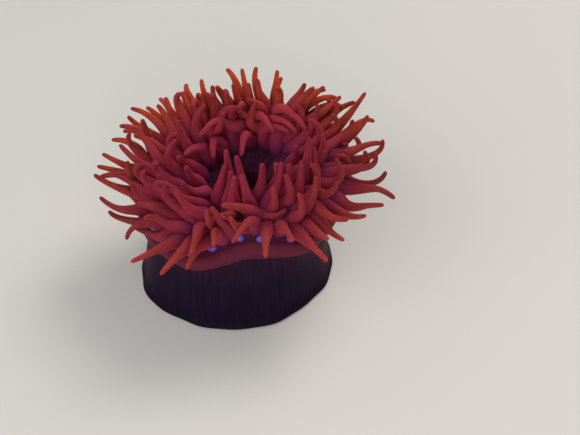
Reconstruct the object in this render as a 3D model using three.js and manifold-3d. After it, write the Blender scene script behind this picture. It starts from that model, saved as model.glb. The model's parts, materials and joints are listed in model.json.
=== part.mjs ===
// Beadlet anemone (Actinia equina), open and standing on its foot, at life size.
// Millimetres, +Z up, the front toward -Y. The origin is the centre of the foot's underside.
import * as THREE from 'three';
import { mergeVertices } from 'three/addons/utils/BufferGeometryUtils.js';
import Module from 'manifold-3d';

const wasm = await Module();
wasm.setup();

// Driving dimensions
const crownHeight = 21;       // rim of the oral disc above the ground
const footRadius = 17.6;
const waistRadius = 16.5;
const collarRadius = 19.0;
const discRadius = 8.3;       // bare oral disc inside the innermost tentacles
const discDepth = 3.2;        // how far the disc sinks toward the mouth
const gap = 0.3;              // clearance between neighbouring parts
const bodySides = 24;
const tentacleSides = 4;

// The crown nods to the front left, stands a little right of the foot and bulges to the front
// left. At the front its edge is tucked in and lifted, and the mouth is off the middle.
const nod = { from: 8, angle: 9.5, toward: 230, shift: 1.7 };
const bulge = { amount: 0.1, toward: 237 };
const dent = { amount: 0.18, rise: 1.7, at: 270, width: 35 };
const mouthShift = { x: 0.8, y: 1.2 };

const bead = { count: 24, size: 1.5, ring: 17.45, height: 20.05, turn: 12 };
const sectors = 12;           // tentacle groups round the disc rim

// Rows of tentacles from the mouth outward. Angles in degrees: lean from upright toward the
// heading, and curl is the lean gained (+) or lost (-) between root and tip.
const rows = [
  { count: 17, radius: 9.3, lift: -1.4, length: 12.8, thick: 3.5, lean: -10, curl: -10 },
  { count: 22, radius: 10.9, lift: -0.5, length: 12.4, thick: 3.45, lean: 12, curl: -10 },
  { count: 29, radius: 12.5, lift: 0.2, length: 12.0, thick: 3.35, lean: 34, curl: 0 },
  { count: 38, radius: 14.1, lift: 0.3, length: 11.4, thick: 3.2, lean: 54, curl: 0 },
  { count: 48, radius: 15.6, lift: 0.2, length: 10.6, thick: 3.0, lean: 70, curl: 0 },
];

// Whole tracts of tentacles that lie the same way. Each fades out round the disc from its
// middle, and adds to the row's own angles.
const combs = [
  // back: short and upright, the inner rows tipped in over the disc
  { at: 96, width: 34, rows: [0], lean: 4, curl: -20 },
  { at: 96, width: 34, rows: [1], lean: -36, curl: -10 },
  { at: 92, width: 32, rows: [2], lean: -48, curl: -10, length: 0.85 },
  { at: 90, width: 30, rows: [3], lean: -50, length: 0.78 },
  { at: 90, width: 30, rows: [4], lean: -32, heading: 8, curl: -10, length: 0.82 },
  // back left: arched outward and down
  { at: 134, width: 20, rows: [4], lean: -8, heading: -14, curl: 40, length: 0.88 },
  { at: 150, width: 24, rows: [3], heading: -12, curl: 40 },
  { at: 150, width: 30, rows: [1, 2], lean: -8, curl: -10 },
  // left: combed back
  { at: 186, width: 36, rows: [4], heading: -16, curl: -10 },
  { at: 186, width: 26, rows: [1, 2, 3], heading: -12, curl: -10 },
  // back right: arches to the right, the inner rows held off the mouth
  { at: 48, width: 16, rows: [3, 4], heading: -24, curl: 30, length: 0.96 },
  { at: 50, width: 20, rows: [1, 2], lean: 6, heading: -30, curl: 50 },
  { at: 36, width: 36, rows: [0], lean: 42 },
  { at: 20, width: 14, rows: [3, 4], curl: -20 },
  // right: out and up again
  { at: 352, width: 22, rows: [3, 4], lean: 2, heading: 4, curl: -20, length: 1.15 },
  { at: 350, width: 40, rows: [0, 1, 2], lean: 10, curl: -60 },
  // front right: long and straight
  { at: 318, width: 20, rows: [3, 4], lean: 8, heading: -8, curl: -10, length: 1.2 },
  // front: the inner rows upright, the outer ones drooping and hooked
  { at: 275, width: 30, rows: [0], lean: 25, heading: 50 },
  { at: 285, width: 34, rows: [1], lean: 6, heading: 20 },
  { at: 280, width: 32, rows: [2], lean: -16, heading: 12, curl: -10 },
  { at: 268, width: 34, rows: [3], lean: -20, heading: 6 },
  { at: 268, width: 34, rows: [4], lean: -10, curl: 30, length: 1.1 },
  // front left: swept round to the left
  { at: 222, width: 26, rows: [1], lean: 16, heading: -46, curl: -10 },
  { at: 225, width: 28, rows: [2], lean: -6, heading: -46, curl: -10 },
  { at: 220, width: 26, rows: [3], lean: -12, heading: -36, curl: -10 },
];

// Single tentacles that lie their own way. Each takes the tentacle of its row nearest to its
// place round the disc, and sets its angles outright.
const posed = [
  // upright in front of the mouth
  { row: 0, at: 236, lean: 14, heading: 350 },
  { row: 0, at: 251, lean: 10, heading: 60, length: 1.1 },
  { row: 0, at: 274, lean: 16, heading: 350, curl: -10 },
  { row: 0, at: 297, lean: 12, heading: 325, curl: -20 },
  { row: 0, at: 313, lean: 23, heading: 330, curl: -20 },
  { row: 1, at: 237, lean: 28, heading: 200, curl: -10 },
  { row: 1, at: 255, lean: 8, heading: 340 },
  { row: 1, at: 270, lean: 11, heading: 90, curl: -10 },
  { row: 1, at: 287, lean: 26, heading: 300, curl: -30 },
  { row: 1, at: 300, lean: 16, heading: 340 },
  { row: 1, at: 322, lean: 17, heading: 0, curl: -10, length: 1.15 },
  { row: 2, at: 246, lean: 24, heading: 200, curl: -20, length: 1.1 },
  { row: 2, at: 262, lean: 10, heading: 315, curl: 10 },
  { row: 2, at: 272, lean: 8, heading: 290, curl: -20 },
  { row: 2, at: 287, lean: 22, heading: 25, curl: -20 },
  { row: 2, at: 297, lean: 15, heading: 330, curl: -30 },
  { row: 2, at: 309, lean: 16, heading: 340, curl: -10 },
  { row: 0, at: 335, lean: 34, heading: 340, curl: -20 },
  { row: 0, at: 359, lean: 20, heading: 280, length: 0.8 },
  // folded over the mouth from the back
  { row: 0, at: 61, lean: 44, heading: 310, curl: 60, length: 0.9 },
  { row: 0, at: 85, lean: 57, heading: 264, curl: 40 },
  { row: 0, at: 124, lean: 50, heading: 268, curl: 60, length: 0.9 },
  { row: 0, at: 144, lean: 42, heading: 250, curl: 30 },
  { row: 0, at: 174, lean: 24, heading: 250, curl: 10, length: 0.9 },
  { row: 0, at: 190, lean: 26, heading: 270 },
  { row: 0, at: 212, lean: 26, heading: 248, curl: -10 },
  { row: 1, at: 92, lean: 57, heading: 226, curl: 40, length: 1.15 },
  { row: 1, at: 107, lean: 50, heading: 350, curl: 90, twist: -10 },
  { row: 1, at: 75, lean: 56, heading: 300, curl: 80 },
  { row: 1, at: 58, lean: 56, heading: 305, curl: 60 },
  { row: 2, at: 54, lean: 62, heading: 315, curl: 90, twist: -20, length: 1.2 },
  // arched outward at the back left and the back right
  { row: 3, at: 128, lean: 42, heading: 108, curl: 20, length: 0.75 },
  { row: 4, at: 135, lean: 62, heading: 120, curl: 50, length: 0.95 },
  { row: 4, at: 142, lean: 64, heading: 128, curl: 40, length: 0.9 },
  { row: 4, at: 53, lean: 58, heading: 15, curl: 50, length: 0.98 },
  // hooked and forked tips along the back
  { row: 4, at: 105, lean: 44, heading: 98, curl: -10, length: 0.6 },
  { row: 4, at: 60, lean: 40, heading: 80, curl: 30, twist: -30, length: 0.75 },
  // swept round at the front, over the bases of the upright ones
  { row: 3, at: 252, lean: 25, heading: 262, curl: -20 },
  { row: 3, at: 258, lean: 32, heading: 270, curl: -10 },
  { row: 3, at: 271, lean: 74, heading: 356, curl: -20, length: 0.7 },
  { row: 3, at: 280, lean: 34, heading: 240, curl: 10, length: 1.35 },
  { row: 3, at: 290, lean: 38, heading: 10, curl: -60, length: 1.45 },
  { row: 3, at: 299, lean: 27, heading: 315, curl: -40 },
  { row: 3, at: 309, lean: 25, heading: 325, curl: -20, length: 1.15 },
  { row: 4, at: 261, lean: 22, heading: 240, curl: -10 },
  { row: 4, at: 271, lean: 35, heading: 255, curl: -20 },
  // straight out at the left
  { row: 4, at: 174, lean: 68, heading: 158, curl: -10, length: 0.95 },
  { row: 4, at: 180, lean: 72, heading: 162, curl: 10 },
  { row: 4, at: 188, lean: 72, heading: 164, curl: -30, length: 1.08 },
  // drooping over the collar
  { row: 3, at: 243, lean: 58, heading: 260, curl: 20, length: 1.1 },
  { row: 4, at: 195, lean: 70, heading: 160, length: 0.7 },
  { row: 4, at: 225, lean: 66, heading: 186, curl: -30, length: 0.75 },
  { row: 4, at: 232, lean: 62, heading: 232, length: 1.35 },
  { row: 4, at: 241, lean: 66, heading: 244, curl: 10, length: 1.3 },
  { row: 4, at: 247, lean: 69, heading: 250, curl: 20 },
  { row: 4, at: 255, lean: 49, heading: 268, curl: 30, length: 1.15 },
  { row: 4, at: 276, lean: 56, heading: 256, curl: 40, twist: -20, length: 1.15 },
  { row: 4, at: 285, lean: 67, heading: 270, curl: 10, length: 1.1 },
  { row: 4, at: 292, lean: 58, heading: 288, curl: 20 },
  { row: 4, at: 299, lean: 72, heading: 295, length: 1.38 },
  { row: 4, at: 308, lean: 64, heading: 294, curl: -10, length: 1.15 },
  { row: 4, at: 313, lean: 71, heading: 298, curl: -10, length: 1.25 },
  { row: 4, at: 323, lean: 66, heading: 311, curl: -20, length: 1.35 },
];

const links = 7;              // straight steps in a tentacle while it is laid
const settleRounds = 60;
const clearance = 0.3;        // kept between tentacles where there is room
const pull = { loose: 0.02, firm: 0.06 };  // back to its own pose at each round

// Angles, noise and the crown's own shape
const { degToRad, smoothstep } = THREE.MathUtils;
const ease = (t) => smoothstep(t, 0, 1);
const aside = (a, b) => Math.abs((((a - b + 180) % 360) + 360) % 360 - 180);
const polar = (radius, angle, z) =>
  new THREE.Vector3(radius * Math.cos(degToRad(angle)), radius * Math.sin(degToRad(angle)), z);

const direction = (lean, heading) => new THREE.Vector3(
  Math.sin(lean) * Math.cos(heading), Math.sin(lean) * Math.sin(heading), Math.cos(lean));

function scatter(n) {
  const wave = Math.sin(n * 12.9898 + 4.1) * 43758.5453;
  return (wave - Math.floor(wave)) * 2 - 1;
}

const angleOf = (point) => THREE.MathUtils.radToDeg(Math.atan2(point.y, point.x));

const dentAt = (angle) => ease(1 - aside(angle, dent.at) / dent.width);

// The bulge and the dent as a factor on the radius. The dent fades out down the column.
const bulgeAt = (angle, height = crownHeight) =>
  1 + bulge.amount * Math.cos(degToRad(angle - bulge.toward))
  - dent.amount * dentAt(angle) * ease((height - 6) / 9);

// How far the disc goes with the mouth's shift
const shiftAt = (radius) => 1 - ease((radius - 5) / 12);

// Swells a round body into the crown's own outline.
function swell(point) {
  const radius = Math.hypot(point.x, point.y);
  const angle = angleOf(point);
  const factor = 1 + (bulgeAt(angle, point.z) - 1) * ease((radius - 6) / 8);
  const lift = dent.rise * dentAt(angle) * ease((radius - 8) / 8) * ease((point.z - 14.5) / 5);
  return new THREE.Vector3(
    point.x * factor + mouthShift.x * shiftAt(radius),
    point.y * factor + mouthShift.y * shiftAt(radius),
    point.z + lift);
}

// Nods the upright crown over and shifts it off the foot.
function nodOver(point) {
  const share = ease((point.z - nod.from) / (crownHeight - nod.from));
  const toward = degToRad(nod.toward);
  const axis = new THREE.Vector3(-Math.sin(toward), Math.cos(toward), 0);
  const pivot = new THREE.Vector3(0, 0, crownHeight);
  const moved = point.clone().sub(pivot).applyAxisAngle(axis, degToRad(nod.angle) * share).add(pivot);
  moved.x += nod.shift * ease(point.z / crownHeight);
  return moved;
}

const discHeight = (radius) =>
  crownHeight - 1.4 - discDepth * (1 - Math.min(radius / 9.6, 1) ** 2);

const beadCentres = Array.from({ length: bead.count }, (_, k) => {
  return swell(polar(bead.ring, (k * 360) / bead.count + bead.turn, bead.height));
});

// Thickness along a tentacle, s from 0 at the pinched root to 1 at the tip
const radiusAt = (s, thick) =>
  (thick / 2) * (1 - 0.76 * Math.max(s, 0) ** 0.85) * (0.88 + 0.12 * ease(s / 0.15));

// One tentacle's root, angles and sizes
function tentacle(row, i) {
  const spec = rows[row];
  const n = row * 61 + i * 7 + 1;
  const spacing = 360 / spec.count;
  const angle = spacing * (i + 0.5 * (row % 2)) + scatter(n) * 0.22 * spacing;
  const pose = {
    row, angle, n,
    lean: spec.lean + scatter(n + 11) * 12,
    heading: angle + scatter(n + 23) * 12,
    curl: spec.curl + scatter(n + 37) * 34,
    twist: scatter(n + 41) * 36,
    hook: scatter(n + 79) * 60,
    length: spec.length * (1 + 0.12 * scatter(n + 53)),
    thick: spec.thick * (1 + 0.06 * scatter(n + 67)),
  };
  for (const comb of combs) {
    if (!comb.rows.includes(row)) continue;
    const share = ease(1.5 - aside(angle, comb.at) / comb.width);
    for (const key of ['lean', 'heading', 'curl']) pose[key] += (comb[key] ?? 0) * share;
    pose.length *= 1 + ((comb.length ?? 1) - 1) * share;
  }
  pose.root = swell(polar(spec.radius, angle, crownHeight + spec.lift));
  return pose;
}

function allTentacles() {
  const laid = rows.map((spec, row) => Array.from({ length: spec.count }, (_, i) => tentacle(row, i)));
  for (const { row, at, length = 1, ...angles } of posed) {
    const nearest = laid[row].reduce((a, b) => (aside(b.angle, at) < aside(a.angle, at) ? b : a));
    const straight = { curl: 0, twist: 0, hook: 0 };
    Object.assign(nearest, straight, angles, { length: rows[row].length * length, firm: true });
  }
  return laid.flat();
}

// The straight-line steps of a tentacle that lies free
function freeChain(pose) {
  const points = [pose.root.clone()];
  for (let k = 1; k <= links; k += 1) {
    const s = (k - 0.5) / links;
    const lean = degToRad(pose.lean + pose.curl * (2 * s - 1) + pose.hook * ease((s - 0.55) / 0.45));
    const heading = degToRad(pose.heading + pose.twist * (2 * s - 1));
    points.push(points[k - 1].clone().addScaledVector(direction(lean, heading), pose.length / links));
  }
  return points;
}

// Lets the tentacles push one another, the beads, the collar and the disc aside until they nestle.
function settle(tentacles) {
  const chains = tentacles.map(freeChain);
  const targets = chains.map((chain) => chain.map((p) => p.clone()));
  const knots = chains.flatMap((chain, t) => chain.map((point, k) => ({
    t, k, point, radius: radiusAt(k / links, tentacles[t].thick), give: [0.3, 0.6][k] ?? 1,
  })));
  const pairs = [];
  for (let a = 0; a < knots.length; a += 1) {
    for (let b = a + 1; b < knots.length; b += 1) {
      const [p, q] = [knots[a], knots[b]];
      if (p.t !== q.t && p.point.distanceTo(q.point) < 5) pairs.push([p, q]);
    }
  }
  const push = new THREE.Vector3();
  for (let round = 0; round < settleRounds; round += 1) {
    for (const p of knots) Object.assign(p, { shove: new THREE.Vector3(), touches: 0 });
    for (const [p, q] of pairs) {
      push.subVectors(q.point, p.point);
      const apart = push.length() + 1e-9;
      const overlap = p.radius + q.radius + clearance - apart;
      if (overlap <= 0) continue;
      push.multiplyScalar((overlap * 0.5) / apart);
      q.shove.add(push);
      p.shove.sub(push);
      p.touches += 1;
      q.touches += 1;
    }
    for (const p of knots) {
      if (p.k === 0) p.shove.z = 0;
      p.point.addScaledVector(p.shove, (1.2 * p.give) / Math.max(p.touches, 1));
      if (p.k > 0) clearOfBody(p);
    }
    chains.forEach((chain, t) => {
      const back = tentacles[t].firm ? pull.firm : pull.loose;
      chain.forEach((point, k) => point.lerp(targets[t][k], back));
      const drift = chain.map((point, k) => point.clone().sub(targets[t][k]));
      for (let k = 1; k < links; k += 1) {
        push.addVectors(drift[k - 1], drift[k + 1]).multiplyScalar(0.5).sub(drift[k]);
        chain[k].addScaledVector(push, 0.12);
      }
      for (let k = 1; k <= links; k += 1) {
        push.subVectors(chain[k], chain[k - 1]).setLength(tentacles[t].length / links);
        chain[k].addVectors(chain[k - 1], push);
      }
    });
  }
  chains.forEach(([root], t) => {
    const share = shiftAt(rows[tentacles[t].row].radius);
    tentacles[t].angle = angleOf({ x: root.x - mouthShift.x * share, y: root.y - mouthShift.y * share });
  });
  return chains;
}

// Keeps one point of a tentacle off the collar, the beads and the disc.
const collarTube = { radius: 17.7, height: 18.7, size: 1.35 };
function clearOfBody(p) {
  const { point, radius, k } = p;
  const reach = Math.hypot(point.x, point.y) + 1e-9;
  const angle = angleOf(point);
  if (k > 1) {
    const out = reach - collarTube.radius * bulgeAt(angle);
    const up = point.z - collarTube.height - dent.rise * dentAt(angle);
    const away = Math.hypot(out, up) + 1e-9;
    const overlap = Math.max(collarTube.size + radius - away, 0) / away;
    point.x += (overlap * out * point.x) / reach;
    point.y += (overlap * out * point.y) / reach;
    point.z += overlap * up;
  }
  const shove = new THREE.Vector3();
  for (const centre of beadCentres) {
    const away = point.clone().sub(centre);
    const overlap = bead.size / 2 + radius + clearance - away.length();
    if (overlap > 0) shove.add(away.setLength(overlap * 0.6));
  }
  point.add(shove);
  if (k > 1 && reach < 14) point.z = Math.max(point.z, discHeight(reach) + radius);
}

// Solids
function toSolid(geometry) {
  const bare = geometry.clone();
  for (const name of ['normal', 'uv']) bare.deleteAttribute(name);
  const merged = mergeVertices(bare, 1e-5);
  const index = Array.from(merged.index.array);
  const triVerts = [];
  for (let t = 0; t < index.length; t += 3) {
    const [a, b, c] = index.slice(t, t + 3);
    if (a !== b && b !== c && c !== a) triVerts.push(a, b, c);
  }
  return new wasm.Manifold(new wasm.Mesh({
    numProp: 3,
    vertProperties: new Float32Array(merged.attributes.position.array),
    triVerts: new Uint32Array(triVerts),
  }));
}

const joined = (solids) => solids.reduce((a, b) => a.add(b));

// Moves every vertex of a geometry.
function reshape(geometry, move) {
  const position = geometry.attributes.position;
  const point = new THREE.Vector3();
  for (let i = 0; i < position.count; i += 1) {
    point.fromBufferAttribute(position, i);
    position.setXYZ(i, ...move(point, i).toArray());
  }
  return geometry;
}

// A profile of [radius, height] pairs turned about the upright axis
function turned(profile, sides = bodySides, stretch = swell) {
  const points = profile.map(([radius, height]) => new THREE.Vector2(radius, height));
  const geometry = new THREE.LatheGeometry(points, sides).rotateX(Math.PI / 2);
  return toSolid(reshape(geometry, stretch));
}

// How far a chain turns between its root and its tip, in degrees
const turnOf = (chain) => {
  const first = chain[1].clone().sub(chain[0]);
  const last = chain[links].clone().sub(chain[links - 1]);
  return THREE.MathUtils.radToDeg(first.angleTo(last));
};

// A tapered tube with a rounded tip, bent along the tentacle's chain. It springs from a point
// sunk in the disc rim, so that its root is pinched where it leaves the rim.
const springReach = 12.6;     // farthest out that this point lies
function tube(chain, thick, extra = 0) {
  const sink = chain[1].clone().sub(chain[0]).normalize().add(new THREE.Vector3(0, 0, 1.2));
  const spring = chain[0].clone().sub(sink.setLength(4 - extra));
  const farthest = springReach * bulgeAt(angleOf(spring));
  const inward = Math.min(farthest / Math.hypot(spring.x, spring.y), 1);
  spring.multiply(new THREE.Vector3(inward, inward, 1));
  const curve = new THREE.CatmullRomCurve3([spring, ...chain]);
  const turn = turnOf(chain);
  const stations = [0, 0.44, 0.95, 1];
  if (turn > 90) stations.splice(2, 0, 0.7);
  if (turn > 150) stations.splice(1, 2, 0.41, 0.58, 0.77);
  const root = spring.distanceTo(chain[0]) / curve.getLength();
  const profile = stations.map((s, k) => {
    const pointed = k === 0 || k === stations.length - 1;
    const radius = pointed ? 0 : radiusAt((s - root) / (1 - root), thick) + extra;
    return new THREE.Vector2(radius, s);
  });
  const straight = new THREE.LatheGeometry(profile, tentacleSides);
  const side = new THREE.Vector3(1, 0, 0);
  const frames = stations.map((s) => {
    const along = curve.getTangentAt(s);
    side.addScaledVector(along, -side.dot(along)).normalize();
    return { at: curve.getPointAt(s), side: side.clone(), across: along.clone().cross(side) };
  });
  return toSolid(reshape(straight, (point) => {
    const station = stations.reduce((a, s, k) => (Math.abs(s - point.y) < 1e-4 ? k : a), 0);
    const { at, side: x, across: y } = frames[station];
    return at.clone().addScaledVector(x, point.z).addScaledVector(y, point.x);
  }));
}

// The foot, the column and the collar (the swollen fold that hides the bead groove)
const rimRadius = 16.5;       // the bore of the collar, round the disc rim
const rimTop = 20.4;
const shelf = 15.1;           // the rim, the disc and the collar stand on the column here

const pedalDisc = () => turned([
  [0, 0], [footRadius - 0.3, 0], [footRadius, 0.5], [footRadius - 0.4, 1.4], [0, 1.4],
]);

const column = () => turned([
  [0, 1.4 + gap], [footRadius - 0.6, 1.4 + gap], [waistRadius + 0.1, 5], [waistRadius, 8],
  [waistRadius + 0.3, 12], [waistRadius + 0.8, shelf - gap], [0, shelf - gap],
]);

const shoulder = 18.6;        // top of the collar, under the bead ring

function collar(extra = 0) {
  const inner = rimRadius + gap - extra;
  return turned([
    [inner, shelf - extra], [waistRadius + 1 + extra, shelf - extra],
    [collarRadius - 0.3 + extra, 16.1 - extra], [collarRadius + extra, 17.2],
    [collarRadius - 0.3 + extra, shoulder + extra], [inner, shoulder + extra], [inner, shelf - extra],
  ]);
}

// The beads stand in a groove on the collar's shoulder.
function beadRing(extra = 0) {
  const inner = rimRadius + gap - extra;
  const [bottom, top] = [shoulder + gap - extra, shoulder + 1.1 + extra];
  const ring = turned([
    [inner, bottom], [collarRadius - 0.5 + extra, bottom], [collarRadius - 1 + extra, top],
    [inner, top], [inner, bottom],
  ]);
  const ball = new THREE.IcosahedronGeometry((bead.size + extra) / 2, 0).rotateX(0.55);
  return joined([ring, ...beadCentres.map((centre) => toSolid(ball.clone().translate(...centre)))]);
}

// The bare disc round the mouth, and the lips
const oralDisc = (extra = 0) => turned([
  [0, shelf - extra], [discRadius + extra, shelf - extra],
  ...[discRadius, 5.5, 3].map((radius) => [radius + extra, discHeight(radius) + extra]),
  [0, discHeight(3) + extra],
]);

// The lips are a ring drawn out from front to back.
const mouth = () => {
  const base = discHeight(3) + gap;
  const profile = [[1.2, base], [2.9, base], [2.3, base + 1.1], [1.6, base + 1.1], [1.2, base]];
  return turned(profile, 12, (point) =>
    swell(new THREE.Vector3(point.x * 0.85, point.y * 1.45, point.z)));
};

// The disc rim in sectors, parted between the tentacles of each row, with its tentacles
const sectorOf = (angle) => Math.floor((((angle % 360) + 360) % 360) / (360 / sectors));

// Where the cut before a sector passes each row: midway between the tentacles on either side
function cutAngle(tentacles, row, sector) {
  const cut = (sector * 360) / sectors;
  const signed = (angle) => ((((angle - cut + 180) % 360) + 360) % 360) - 180;
  const offsets = tentacles.filter((pose) => pose.row === row).map((pose) => signed(pose.angle));
  const before = Math.max(...offsets.filter((offset) => offset < 0));
  const after = Math.min(...offsets.filter((offset) => offset >= 0));
  return cut + (before + after) / 2;
}

// One sector of the rim: a prism with zigzag sides
function rimSector(tentacles, sector, extra = 0) {
  const radii = rows.map((spec) => spec.radius);
  [radii[0], radii[radii.length - 1]] = [discRadius + gap - extra, rimRadius - 0.2 + extra];
  const side = (cut, sense) => radii.map((radius, row) => {
    const trim = THREE.MathUtils.radToDeg((gap / 2 - extra) / radius) * sense;
    return polar(radius, cutAngle(tentacles, row, cut) + trim, 0);
  });
  const [start, end] = [side(sector, 1), side(sector + 1, -1)];
  const middle = (sector + 0.5) * (360 / sectors);
  const outline = [
    ...start, ...[-5, 5].map((turn) => polar(rimRadius - 0.2 + extra, middle + turn, 0)),
    ...end.reverse(), polar(radii[0] + 0.2, middle, 0),
  ].map((point) => new THREE.Vector2(point.x, point.y));
  const prism = new THREE.ExtrudeGeometry(new THREE.Shape(outline), { depth: 1, bevelEnabled: false });
  return toSolid(reshape(prism, (point) =>
    swell(point.clone().setZ(point.z > 0.5 ? rimTop + extra : shelf - extra))));
}

function tentacleGroups() {
  const tentacles = allTentacles();
  const chains = settle(tentacles);
  const bySector = (make) => Array.from({ length: sectors }, (_, sector) => make(sector));
  const tubesOf = (sector, extra) => joined(tentacles.flatMap((pose, t) =>
    (sectorOf(pose.angle) === sector ? [tube(chains[t], pose.thick, extra)] : [])));
  const chunks = bySector((sector) => rimSector(tentacles, sector));
  const fatChunks = bySector((sector) => rimSector(tentacles, sector, gap));
  const tubes = bySector((sector) => tubesOf(sector, 0));
  const fatTubes = bySector((sector) => tubesOf(sector, gap));
  const body = joined([collar, beadRing, oralDisc].map((make) => make(gap)));
  return bySector((sector) => {
    let freeTubes = tubes[sector].subtract(body);
    for (let other = 0; other < sectors; other += 1) {
      if (other !== sector) freeTubes = freeTubes.subtract(fatChunks[other]);
      if (other < sector) freeTubes = freeTubes.subtract(fatTubes[other]);
    }
    const group = chunks[sector].add(freeTubes);
    return group.decompose().reduce((a, b) => (b.volume() > a.volume() ? b : a));
  });
}

// The finished model
const group = new THREE.Group();

function addPart(name, solid, color, roughness = 0.55) {
  const { vertProperties, triVerts } = solid.getMesh();
  const geometry = new THREE.BufferGeometry();
  geometry.setAttribute('position', new THREE.BufferAttribute(new Float32Array(vertProperties), 3));
  geometry.setIndex(new THREE.BufferAttribute(new Uint32Array(triVerts), 1));
  reshape(geometry, nodOver).computeVertexNormals();
  const mesh = new THREE.Mesh(geometry, new THREE.MeshStandardMaterial({ color, roughness }));
  mesh.name = name;
  group.add(mesh);
}

addPart('pedal_disc', pedalDisc(), '#2e1622', 0.6);
addPart('column', column(), '#341826', 0.6);
addPart('collar', collar(), '#5e2432');
addPart('bead_ring', beadRing(), '#4c4bc4', 0.35);
addPart('oral_disc', oralDisc(), '#5a2030');
addPart('mouth', mouth(), '#6c2436');
tentacleGroups().forEach((solid, sector) => {
  addPart(`tentacles_${String(sector + 1).padStart(2, '0')}`, solid, '#9c3236');
});

export default group;
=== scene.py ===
import bpy
import json
import numpy as np
from math import sin, cos, radians, degrees, atan2, hypot, pi
from mathutils import Vector, Matrix, kdtree

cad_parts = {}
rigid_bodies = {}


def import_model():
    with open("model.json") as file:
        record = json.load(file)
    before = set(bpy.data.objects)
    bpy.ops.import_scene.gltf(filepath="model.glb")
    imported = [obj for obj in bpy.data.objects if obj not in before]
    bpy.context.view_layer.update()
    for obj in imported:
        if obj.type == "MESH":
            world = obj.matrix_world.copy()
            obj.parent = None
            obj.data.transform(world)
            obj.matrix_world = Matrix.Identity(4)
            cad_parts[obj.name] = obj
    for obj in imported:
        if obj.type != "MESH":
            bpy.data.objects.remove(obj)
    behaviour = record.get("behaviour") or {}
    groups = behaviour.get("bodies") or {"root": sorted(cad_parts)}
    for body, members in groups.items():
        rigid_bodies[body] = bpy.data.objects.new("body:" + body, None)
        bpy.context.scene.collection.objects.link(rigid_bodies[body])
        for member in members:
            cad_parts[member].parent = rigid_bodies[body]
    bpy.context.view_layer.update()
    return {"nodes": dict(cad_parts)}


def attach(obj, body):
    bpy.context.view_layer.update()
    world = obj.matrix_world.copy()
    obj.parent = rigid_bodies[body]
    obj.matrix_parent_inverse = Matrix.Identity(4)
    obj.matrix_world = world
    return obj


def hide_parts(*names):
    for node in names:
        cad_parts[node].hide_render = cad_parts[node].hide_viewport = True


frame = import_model()
bpy.ops.object.select_all(action="DESELECT")

# Sizes are in millimetres in the frame of the solids, and meshes are written in metres. Angles
# round the axis are in degrees: 0 is the right, 90 the back and 270 the front.
mm = 0.001

# The crown nods over, the body bulges to one side, and the collar is dented and lifted in front.
# "From" is where such a change begins, and "over" is the way it takes.
crown = {"height": 21.0, "nodFrom": 8.0, "nodAngle": 9.5, "nodToward": 230.0, "shift": 1.7,
         "bulge": 0.10, "bulgeToward": 237.0, "bulgeFrom": 6.0, "bulgeOver": 8.0,
         "dent": 0.18, "dentAt": 270.0, "dentWidth": 35.0, "dentFrom": 6.0, "dentOver": 9.0,
         "rise": 1.7, "riseFrom": 8.0, "riseOver": 8.0, "riseFromHeight": 14.5, "riseOverHeight": 5.0,
         "discShift": (0.8, 1.2), "discFrom": 5.0, "discOver": 12.0,
         "discEdge": 9.6, "discDrop": 1.4, "discDepth": 3.2}
beads = {"count": 24, "ring": 17.45, "height": 20.05, "turn": 12.0, "size": 1.5}

# Rows of tentacles from the mouth outward. Lean is from upright, curl is the lean gained on the way.
rows = [
    {"count": 17, "radius": 9.3, "lift": -1.4, "length": 12.8, "thick": 3.5, "lean": -10, "curl": -10},
    {"count": 22, "radius": 10.9, "lift": -0.5, "length": 12.4, "thick": 3.45, "lean": 12, "curl": -10},
    {"count": 29, "radius": 12.5, "lift": 0.2, "length": 12.0, "thick": 3.35, "lean": 34, "curl": 0},
    {"count": 38, "radius": 14.1, "lift": 0.3, "length": 11.4, "thick": 3.2, "lean": 54, "curl": 0},
    {"count": 48, "radius": 15.6, "lift": 0.2, "length": 10.6, "thick": 3.0, "lean": 70, "curl": 0},
]
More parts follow.
